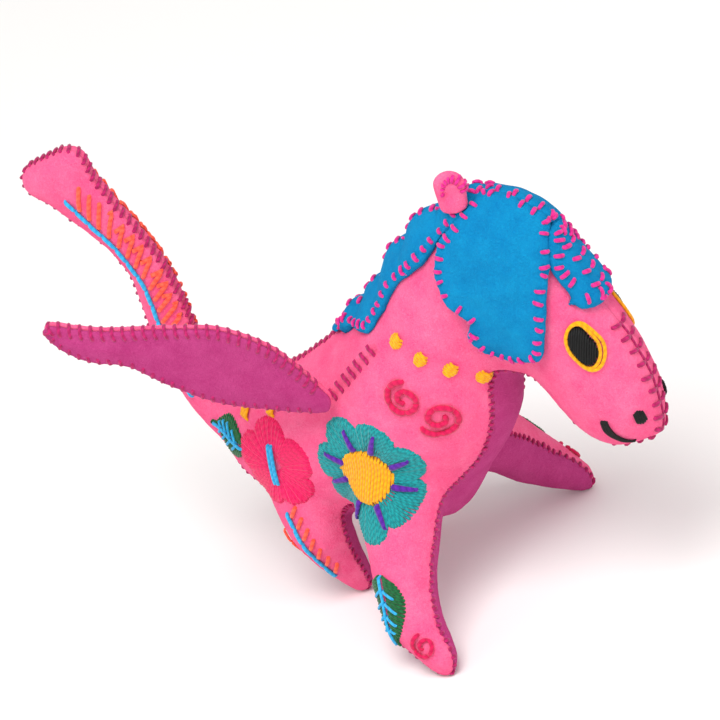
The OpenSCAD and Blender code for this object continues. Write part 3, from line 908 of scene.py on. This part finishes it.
def embroider(side):
    """All the embroidery on one flank: right first, and the same again mirrored on the left."""
    label = SIDE_NAMES[side]
    tree = FELT_TREE

    petals = Threads()
    outline = lobed(7, 1.06 * flank("right_shoulder_petals")[2] / 2, 5.0)
    fan(petals, tree, side, SHOULDER, 6.6, outline, spacing=0.82, width=1.1)
    petals.build(label + "_shoulder_petal_threads", TEAL_WOOL, nodes=[label + "_shoulder_petals"])
    middle = Threads()
    outline = oval((SHOULDER[0] - 0.7, SHOULDER[1] - 0.3), 9.4, 8.8)
    fill_rows(middle, tree, side, outline, 84, spacing=0.95, rise=0.5, crown=0.7)
    middle.build(label + "_shoulder_centre_threads", YELLOW_WOOL, nodes=[label + "_shoulder_centre"])
    stamens = Threads()
    for k in range(8):
        angle = math.radians(22 + 45 * k + rng.uniform(-4, 4))
        ends = [(SHOULDER[0] + r * math.cos(angle), SHOULDER[1] + r * math.sin(angle)) for r in (8.0, 16.0)]
        lay(stamens, tree, side, ends, 2.1, 1.2, 1.3, taper=(1.1, 1.0, 0.8, 0.5))
    stamens.build(label + "_shoulder_stamen_threads", PURPLE_WOOL, nodes=[label + "_shoulder_stamens"])

    petals = Threads()
    outline = lobed(5, 1.06 * flank("right_hip_petals")[2] / 2, 4.2)
    fan(petals, tree, side, HIP, 0.8, outline, spacing=0.85, width=1.15)
    petals.build(label + "_hip_petal_threads", CRIMSON_WOOL, nodes=[label + "_hip_petals"])
    slit = Threads()
    for shift in (-0.55, 0.55):
        ends = [(HIP[0] + shift, HIP[1] + 7.5), (HIP[0] - 0.6 + shift, HIP[1] - 7)]
        lay(slit, tree, side, ends, 1.3, 1.1, 1.15)
    slit.build(label + "_hip_centre_threads", BLUE_WOOL, nodes=[label + "_hip_centre"])
    bud = Threads()
    for shift in (-1.2, -0.4, 0.4, 1.2):
        for (x, low, height), part, rise in zip(HIP_BUDS, (1, 0.8), (0.8, 0.9)):
            x += HIP[0] + shift * part
            lay(bud, tree, side, [(x, HIP[1] + low + height), (x, HIP[1] + low)], 1.2, 1.0, rise)
    bud.build(label + "_hip_bud_threads", YELLOW_WOOL)

    leaf = Threads()
    veins = Threads()
    sew_leaf(leaf, veins, tree, side, at("right_leg_leaf", 0.3, 1.05), at("right_leg_leaf", 0.6, 0.0), 7.6)
    leaf.build(label + "_leg_leaf_threads", GREEN_WOOL, nodes=[label + "_leg_leaf"])
    veins.build(label + "_leg_vein_threads", BLUE_WOOL, nodes=[label + "_leg_leaf_veins"])
    leaf = Threads()
    veins = Threads()
    sew_leaf(leaf, veins, tree, side, at("right_rump_leaf", 1, 0.4), at("right_rump_leaf", 0, 0.6), 6.4)
    leaf.build(label + "_rump_leaf_threads", GREEN_WOOL, nodes=[label + "_rump_leaf"])
    veins.build(label + "_rump_vein_threads", BLUE_WOOL, nodes=[label + "_rump_leaf_veins"])

    dots = Threads()
    for place in [at("right_collar_dots", 0.1 + 0.8 * k / 3, 0.88 - 0.76 * k / 3) for k in range(4)]:
        for turn in range(5):
            shift = (turn - 2) * 0.85
            reach = math.sqrt(max(0.3, 2.4 ** 2 - shift ** 2))
            a = (place[0] + shift * 0.7 - reach * 0.6, place[1] + shift * 0.7 + reach * 0.75)
            b = (place[0] + shift * 0.7 + reach * 0.6, place[1] + shift * 0.7 - reach * 0.75)
            lay(dots, tree, side, [a, b], 1.15, 1.0, 0.75, step=0.8)
    dots.build(label + "_collar_threads", YELLOW_WOOL, nodes=[label + "_collar_dots"])

    swirls = Threads()
    for across, up, start in ((0.33, 0.66, 80), (0.7, 0.33, 200)):
        size = 0.27 * flank("right_neck_swirls")[2]
        chain(swirls, tree, side, coil(at("right_neck_swirls", across, up), size, start, 1.5), 2.2)
    swirls.build(label + "_neck_swirl_threads", DEEP_WOOL, nodes=[label + "_neck_swirls"])

    spiral = Threads()
    places = coil(at("right_foot_spiral", 0.5, 0.5), 0.55 * flank("right_foot_spiral")[2], 110, 1.4)
    chain(spiral, tree, side, places, 1.5)
    spiral.build(label + "_foot_spiral_threads", DEEP_WOOL, nodes=[label + "_foot_spiral"])

    feather = Threads()
    ribs = Threads()
    shares = ((0.3, 1.1), (0.55, 0.7), (0.85, 0))
    rib = curve_through([at("right_hind_feather", a, b) for a, b in shares], 1.0)
    chain(ribs, tree, side, rib, 1.5)
    for k in range(7):
        x, z = rib[2 + k * 4 if 2 + k * 4 < len(rib) else -1]
        lay(feather, tree, side, [(x + 0.9, z), (x + 3.4, z + 4.6)], 1.4, 1.1, 0.5)
    shares = ((0, 0.8), (0.1, 0.4), (0.3, -0.1))
    chain(feather, tree, side, [at("right_hind_feather", a, b) for a, b in shares], 1.1)
    feather.build(label + "_hind_feather_threads", ORANGE_WOOL, nodes=[label + "_hind_feather"])

    barbs = Threads()
    rib = curve_through(slices("right_tail_midrib", 9), 1.0)
    chain(ribs, tree, side, rib, 1.5)
    for k in range(3, len(rib) - 4, 4):
        ahead = rib[k + 1] - rib[k - 1]
        ahead /= np.linalg.norm(ahead)
        beside = np.array([ahead[1], -ahead[0]])
        begin = rib[k] + beside * 0.9
        lay(barbs, tree, side, [begin, begin + beside * 6.6 + ahead * 6.0], 1.5, 1.1, 0.5)
    ribs.build(label + "_rib_threads", BLUE_WOOL, nodes=[label + "_tail_midrib"])
    barbs.build(label + "_tail_barb_threads", ORANGE_WOOL, nodes=[label + "_tail_barbs"])

    ring = Threads()
    for grow, shift in ((0.0, 0.0), (0.5, 0.55)):
        outline = almond((EYE[0] + shift - 0.2, EYE[1] - 0.5 * shift), 3.9 + grow, 6.6 + grow)
        lay(ring, tree, side, outline + outline[:1], 1.25, 1.1, 0.55, step=0.9, dip=False)
    ring.build(label + "_eye_ring_threads", YELLOW_WOOL, nodes=[label + "_eye_ring"])
    pupil = Threads()
    fill_rows(pupil, tree, side, almond((EYE[0] - 0.2, EYE[1]), 3.5, 6.4), 82, 0.6, 0.9, 0.5, 0.9)
    pupil.build(label + "_eye_threads", BLACK_WOOL, nodes=[label + "_eye"])
    hole = Threads()
    for shift in (-0.9, -0.45, 0, 0.45, 0.9):
        reach = 2.8 - 0.9 * abs(shift) ** 1.5
        x, z = at("right_nostril", 0.5, 0.5)
        lay(hole, tree, side, [(x + shift, z + reach), (x + shift, z - reach)], 1.0, 0.9, 0.6, step=0.6)
    hole.build(label + "_nostril_threads", BLACK_WOOL, nodes=[label + "_nostril"])


def chain(threads, tree, side, points, width=1.6):
    """A line of split stitches, each a thread of two close strands."""
    flat = curve_through(points, 0.5)
    found = [drop(tree, side, x, z) for x, z in flat]
    line = np.array([p for p, _ in found])
    out = np.array([n for _, n in found])
    length = 12
    for start in range(0, len(line) - 3, length - 1):
        part = slice(start, min(start + length + 1, len(line)))
        if part.stop - part.start < 4:
            continue
        found = list(zip(line[part], out[part]))
        finish_thread(threads, found, width, width * 0.8, 0.6, True, (0.9, 1.0, 1.0, 0.9))


def sew_leaf(leaf, veins, tree, side, root, tip, half_width):
    """Satin leaf: two rows of slanted stitches that meet at a midrib, with light veins over them."""
    root, tip = np.array(root, float), np.array(tip, float)
    ahead = tip - root
    length = np.linalg.norm(ahead)
    ahead /= length
    beside = np.array([-ahead[1], ahead[0]])
    count = int(length / 0.95)
    for k in range(count):
        share = (k + 0.5) / count
        begin = root + ahead * length * share
        for hand in (-1, 1):
            reach_share = min(1.0, share + 0.16)
            reach = half_width * math.sin(math.pi * reach_share ** 0.85)
            end = root + ahead * length * reach_share + beside * hand * max(reach, 0.6)
            lay(leaf, tree, side, [begin, end], 1.15 * rng.uniform(0.93, 1.07), 0.85, 0.35, step=1.3)
    middle = [tuple(root + ahead * length * s) for s in (0.02, 0.35, 0.65, 0.97)]
    lay(veins, tree, side, middle, 1.15, 1.0, 1.0)
    for share in (0.2, 0.36, 0.52, 0.68):
        for hand in (-1, 1):
            begin = root + ahead * length * share
            reach = 0.62 * half_width * math.sin(math.pi * (share + 0.1) ** 0.85)
            end = begin + ahead * reach * 0.8 + beside * hand * reach
            lay(veins, tree, side, [begin, end], 0.95, 0.85, 0.95)


for side in (RIGHT, LEFT):
    embroider(side)

mouth = Threads()
# Three strands side by side: each one's shift and its thickness along the smile.
MOUTH_STRANDS = ((0, (0.9, 1.0, 0.9, 0.6)), (0.8, (0.9, 1.0, 1.0, 0.7)), (1.5, (0.4, 1.0, 0.9, 0.5)))
# The smile's points as shares of its node's box, and how far each strand's shift carries at each.
SMILE = ((0.1, 1, 1), (0.12, 0.6, 1), (0.4, 0.3, 0.6), (0.8, 0.1, 0))
for side in (RIGHT, LEFT):
    for shift, taper in MOUTH_STRANDS:
        places = [at("mouth", a, b) for a, b, _ in SMILE]
        places = [(x + shift * c, z) for (x, z), (_, _, c) in zip(places, SMILE)]
        lay(mouth, FELT_TREE, side, places, 1.5, 1.05, 0.5, step=0.8, taper=taper)
mouth.build("mouth_threads", BLACK_WOOL, nodes=["mouth"])


# ---------------------------------------------------------------- seam stitches

head_seam = Threads()
for line, out in middle_seam("head_seam_stitches"):
    whip(head_seam, FELT_TREE, line, out, 4.3, -0.3, 4.4, slant=-1.0, width=1.5)
    whip(head_seam, FELT_TREE, line, out, 4.3, 4.4, -0.3, slant=1.0, width=1.5)
    head_seam.add(line + out * 0.15 * MM, out, 0.9, 0.8)
head_seam.build("head_seam_threads", SEAM_WOOL, nodes=["head_seam_stitches"])

back_seam = Threads()
for line, out in middle_seam("back_seam_stitches"):
    whip(back_seam, FELT_TREE, line, out, 2.6, 2.0, 2.0, slant=1.4)
for side in (RIGHT, LEFT):
    for share in np.linspace(0.05, 0.95, 7):
        x, z = WING_FOLD[0] * (1 - share) + WING_FOLD[1] * share
        lay(back_seam, FELT_TREE, side, [(x + 1.2, z - 1.3), (x - 1.9, z + 1.8)], 1.4, 1.1, 0.5, step=0.7)
back_seam.build("back_seam_threads", SEAM_WOOL, nodes=["back_seam_stitches"])

tail_seam = Threads()
for line, out in middle_seam("tail_seam_stitches"):
    whip(tail_seam, FELT_TREE, line, out, 2.9, 2.3, 2.3, slant=1.6)
tail_seam.build("tail_seam_threads", SEAM_WOOL, nodes=["tail_seam_stitches"])

gusset_seam = Threads()
for places, _, _ in PANEL_EDGES["gusset"]:
    places = even_out(places)
    places = np.vstack([places, places[:1]])
    outs = np.array([nearest(FELT_TREE, p)[1] for p in places])
    # A loop is cut where it passes under a foot or jumps to another part of the seam.
    jumps = np.linalg.norm(np.diff(places, axis=0), axis=1) > 2.5 * MM
    stops = np.flatnonzero((places[1:, 2] < 1.2 * MM) | jumps) + 1
    for run in np.split(np.arange(len(places)), stops):
        if len(run) > 8:
            whip(gusset_seam, FELT_TREE, places[run], outs[run], 2.6, 1.1, 1.1, slant=0.5, width=1.2)
gusset_seam.build("gusset_seam_threads", SEAM_WOOL, nodes=["gusset_seam_stitches"])

def bars(threads, tree, loop, spacing=3.6, length=3.1, width=1.35):
    """Straight stitches from the edge of a piece of felt inwards over its upper face."""
    places, outs, inwards = (even_out(part) for part in loop)
    lengths = np.linalg.norm(np.diff(places, axis=0), axis=1)
    gone = 0.0
    for place, out, inward, step in zip(places, outs, inwards, lengths):
        gone += step / MM
        if gone < spacing:
            continue
        gone = 0.0
        inward = inward / max(np.linalg.norm(inward), 1e-9)
        begin = place + out * 3 * MM + inward * 0.3 * MM
        end = begin + inward * length * rng.uniform(0.8, 1.15) * MM
        stitch(threads, tree, begin, end, width * rng.uniform(0.92, 1.1), 1.15, 0.5)


mane_seam = Threads()
for piece in (mane, flaps[RIGHT], flaps[LEFT], forelock):
    piece_tree = tree_of(piece)
    for loop in EDGES[piece.name]:
        bars(mane_seam, piece_tree, loop)
line, out = ridge(MANE_TREE, "mane_back", 175, 60)
whip(mane_seam, MANE_TREE, line, out, 3.9, 1.9, 1.9, slant=0.8, width=1.5)
line, out = ridge(MANE_TREE, "forelock", 150, 5)
whip(mane_seam, MANE_TREE, line, out, 4.0, -0.4, 3.8, slant=-1.2, width=1.5)
whip(mane_seam, MANE_TREE, line, out, 4.0, 3.8, -0.4, slant=1.2, width=1.5)
mane_seam.build("mane_threads", MANE_WOOL)


# ---------------------------------------------------------------- felt panels and stuffing

smooth_shading(filling)
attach(filling, "horse")
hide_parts("body_stuffing")

for key, node in ((RIGHT, "right_side_panel"), (LEFT, "left_side_panel"), ("gusset", "belly_gusset")):
    skin = SKINS[key]
    give_thickness(skin, FELT_T)
    smooth_shading(skin)
    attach(skin, "horse")
    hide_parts(node)

for piece, node in ((mane, "mane_back"), (flaps[RIGHT], "right_mane_flap"), (flaps[LEFT], "left_mane_flap"),
                    (forelock, "forelock")):
    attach(piece, "horse")
    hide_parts(node)
bpy.data.objects.remove(body)


# ---------------------------------------------------------------- ears

def make_ear(label, length):
    """Ear cup from its CAD shape, at a share of its full length, with whip stitches round its rim."""
    ear = join_nodes(label + "_ear_felt", [label + "_ear"])
    places = points_of(ear)
    base = nearest(FELT_TREE, places.mean(axis=0))[0]
    tall = places.mean(axis=0) - base
    tall /= np.linalg.norm(tall)
    height = (places - base) @ tall
    upwards = np.outer(height, tall)
    moved = base + (places - base - upwards) * min(1.15, 1.9 * length) + upwards * length
    move_points(ear, moved)
    remesh(ear, 0.6)
    relax(ear, 8)
    ear_tree = tree_of(ear)
    middle = moved.mean(axis=0)
    sideways = np.cross(tall, EAR_FACING)
    sideways /= np.linalg.norm(sideways)
    rim = Threads()
    for k in range(9):
        angle = math.radians(-35 + 25 * k)
        way = sideways * math.cos(angle) + tall * math.sin(angle)
        ends = [middle + way * r * MM + np.array(EAR_FACING) * 3 * MM for r in (6.8, 2.8)]
        stitch(rim, ear_tree, ends[0], ends[1], 1.2, 1.0, 0.4)
    rim.build(label + "_ear_threads", MANE_WOOL)
    ear.data.materials.append(PINK_FELT)
    smooth_shading(ear)
    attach(ear, "horse")
    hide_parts(label + "_ear")
    return ear


make_ear("right", 0.84)
make_ear("left", 0.6)


# ---------------------------------------------------------------- wings

# The outline is in shares of the span and chord; each wing has its side, root and roll, pitch and yaw.
WING_SPAN, WING_CHORD = 87, 28
WING_OUTLINE = [
    (0, 0.06), (0.05, 0.18), (0.14, 0.42), (0.25, 0.66), (0.41, 0.79), (0.54, 0.71), (0.67, 0.57),
    (0.8, 0.42), (0.92, 0.34), (0.985, 0.31), (1.01, 0.22), (0.96, 0.08), (0.89, 0), (0.82, -0.02),
    (0.7, 0.04), (0.57, -0.08), (0.38, -0.21), (0.23, -0.2), (0.11, -0.18), (0, -0.12),
]
WINGS = {
    "right": (RIGHT, (4, -25.2, 83), (9, 23, 22)),
    "left": (LEFT, (4, 26.8, 83), (28, -56, -36)),
}


def wing_edge():
    """The wing's outline as (x, z), rounded, with the span along -x."""
    corners = [(-u * WING_SPAN, v * WING_CHORD) for u, v in WING_OUTLINE]
    line = curve_through(corners + corners[:1], 0.8)[:-1]
    return even_out(line, 4)


def wing_place(root, turn, side):
    """Matrix that puts a wing where its root is sewn on."""
    a, b, c = (math.radians(v) for v in turn)
    turned = Matrix.Rotation(c, 4, "Z") @ Matrix.Rotation(b, 4, "Y") @ Matrix.Rotation(a, 4, "X")
    flip = Matrix.Diagonal((1, -side, 1, 1))
    return Matrix.Translation([v * MM for v in root]) @ turned @ flip


EDGE = wing_edge()


def edge_distance(x, z):
    """How far inside the outline each point is, in millimetres."""
    return np.sqrt(((EDGE[None, :, 0] - x[:, None]) ** 2 + (EDGE[None, :, 1] - z[:, None]) ** 2).min(axis=1))


def wing_dome(distance):
    return 1.25 * (1 - np.exp(-((distance / 4.5) ** 1.5)))


def wing_bend(x, z):
    """Soft S-bend of a wing, outwards in the middle and back at the tip."""
    share = -x / WING_SPAN
    return -1.8 * np.sin(math.pi * share) + 1.6 * share ** 3 + 0.6 * np.sin(z / 7)


def wing_layer(name, hand, material, share=1.0, thickness=FELT_T):
    """One layer of a wing, at a share of its full outline: hand is -1 outside, 1 inside and 0 between."""
    part = bmesh.new()
    middle = EDGE.mean(axis=0)
    ring = [part.verts.new((x * MM, 0, z * MM)) for x, z in middle + (EDGE - middle) * share]
    part.faces.new(ring)
    bmesh.ops.triangulate(part, faces=part.faces[:])
    mesh = bpy.data.meshes.new(name)
    part.to_mesh(mesh)
    part.free()
    layer = new_object(name, mesh, material)
    apply_modifier(layer, "SOLIDIFY", thickness=thickness * MM, offset=0.0)
    remesh(layer, 0.7)
    relax(layer, 3)
    places = points_of(layer) / MM
    distance = edge_distance(places[:, 0], places[:, 2])
    lumps = np.array([noise.noise(Vector(p / 8)) for p in places])
    dome = hand * (0.95 + wing_dome(distance) * (1 + 0.15 * lumps))
    places[:, 1] += dome + wing_bend(places[:, 0], places[:, 2])
    move_points(layer, places * MM)
    return layer


def settle(thing, matrix):
    """Moves a piece's mesh by a matrix and keeps its faces pointing outwards."""
    thing.data.transform(matrix)
    if matrix.determinant() < 0:
        thing.data.flip_normals()
    thing.data.update()


def wing_whips(matrix):
    """Whip stitches over the edge of a wing, from one face to the other."""
    threads = Threads()
    loop = np.vstack([EDGE, EDGE[:1]])
    stations = spaced(loop, 3.3)[:-1]
    for k, (x, z) in enumerate(stations):
        if x > -4:
            continue
        near = int(np.argmin(((EDGE - (x, z)) ** 2).sum(axis=1)))
        along = EDGE[(near + 2) % len(EDGE)] - EDGE[near - 2]
        along /= np.linalg.norm(along)
        inward = np.array([along[1], -along[0]])
        if not inside([tuple(p) for p in EDGE], np.array([x + inward[0]]), np.array([z + inward[1]]))[0]:
            inward = -inward
        line, outs = [], []
        for t in np.linspace(-1, 1, 11):
            depth = 3.1 * abs(t) ** 1.3 - 0.35
            half = 1.95 + float(wing_dome(np.array([max(depth, 0)]))[0])
            y = math.copysign(1, t) * half * min(1, (abs(t) / 0.42) ** 0.7) if t else 0.0
            if abs(t) > 0.95:
                y -= math.copysign(0.7, t)
            point = np.array([x, z]) + inward * depth + along * (t * 0.9)
            y += float(wing_bend(point[0], point[1]))
            line.append((point[0], y, point[1]))
            outs.append((-inward[0] * (1 - abs(t)), math.copysign(abs(t), t), -inward[1] * (1 - abs(t))))
        line = np.array(line) * MM
        outs = np.array(outs)
        outs /= np.maximum(np.linalg.norm(outs, axis=1, keepdims=True), 1e-6)
        line = np.array([matrix @ Vector(p) for p in line])
        outs = np.array([matrix.to_3x3() @ Vector(p) for p in outs])
        threads.add(line, outs, 1.15 * rng.uniform(0.9, 1.1), 0.95, twist=rng.random())
    return threads


for label, (side, root, turn) in WINGS.items():
    matrix = wing_place(root, turn, side)
    outer = wing_layer(label + "_wing_outer", -1, MAGENTA_FELT)
    inner = wing_layer(label + "_wing_inner", 1, PINK_FELT)
    core = wing_layer(label + "_wing_fill", 0, FILLING, 0.8, 1.5)
    for piece, node in ((outer, "outer_felt"), (inner, "inner_felt"), (core, "stuffing")):
        settle(piece, matrix)
        smooth_shading(piece)
        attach(piece, label + "_wing")
        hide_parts(label + "_wing_" + node)
    wing_whips(matrix).build(
        label + "_wing_threads", SEAM_WOOL, label + "_wing", nodes=[label + "_wing_stitches"])


# ---------------------------------------------------------------- floor, light and camera

bpy.ops.mesh.primitive_plane_add(size=6, location=(0, 0, 0))
floor = bpy.context.active_object
floor.name = "floor"
FLOOR, floor_tree, floor_shader = new_material("pale_floor")
floor_shader.inputs["Base Color"].default_value = linear("#f2f0ee")
floor_shader.inputs["Roughness"].default_value = 0.9
floor.data.materials.append(FLOOR)

VIEW_AZIMUTH, VIEW_ELEVATION, VIEW_ROLL = math.radians(-52.5), math.radians(31.5), math.radians(-17.5)
TOWARDS = Vector((
    math.cos(VIEW_ELEVATION) * math.cos(VIEW_AZIMUTH), math.cos(VIEW_ELEVATION) * math.sin(VIEW_AZIMUTH),
    math.sin(VIEW_ELEVATION),
))
LEVEL = Vector((0, 0, 1)).cross(TOWARDS).normalized()
RIGHTWARDS = Matrix.Rotation(VIEW_ROLL, 3, TOWARDS) @ LEVEL
UPWARDS = TOWARDS.cross(RIGHTWARDS)
TARGET = sum((Vector(corner) for corner in CAD_BOX), Vector()) / 2
# How far off the camera stands and how wide it sees there, in metres.
DISTANCE = 2.5
FIELD = 0.216

view = bpy.data.cameras.new("camera")
camera = bpy.data.objects.new("camera", view)
bpy.context.scene.collection.objects.link(camera)
view.sensor_width = 36
view.lens = 36 * DISTANCE / FIELD
view.clip_end = 20
camera.matrix_world = Matrix.Translation(TARGET + TOWARDS * DISTANCE) @ Matrix(
    (RIGHTWARDS, UPWARDS, TOWARDS)).transposed().to_4x4()
bpy.context.scene.camera = camera


def soft_light(name, place, size, power):
    """Square soft light that faces the figure."""
    lamp = bpy.data.lights.new(name, "AREA")
    lamp.size = size
    lamp.energy = power
    thing = bpy.data.objects.new(name, lamp)
    bpy.context.scene.collection.objects.link(thing)
    thing.location = place
    thing.rotation_euler = (Vector((0, 0, 0.06)) - Vector(place)).to_track_quat("-Z", "Y").to_euler()
    return thing


soft_light("key_light", (0.2, -0.5, 1.1), 0.6, 10.5)
soft_light("fill_light", (-0.9, -0.7, 0.5), 0.9, 3)
soft_light("front_light", (0.9, -0.3, 0.4), 0.7, 2.2)
world = bpy.data.worlds.new("soft_sky")
world.use_nodes = True
world.node_tree.nodes["Background"].inputs["Color"].default_value = linear("#ffffff")
world.node_tree.nodes["Background"].inputs["Strength"].default_value = 0.68
bpy.context.scene.world = world
bpy.context.scene.view_settings.view_transform = "Standard"
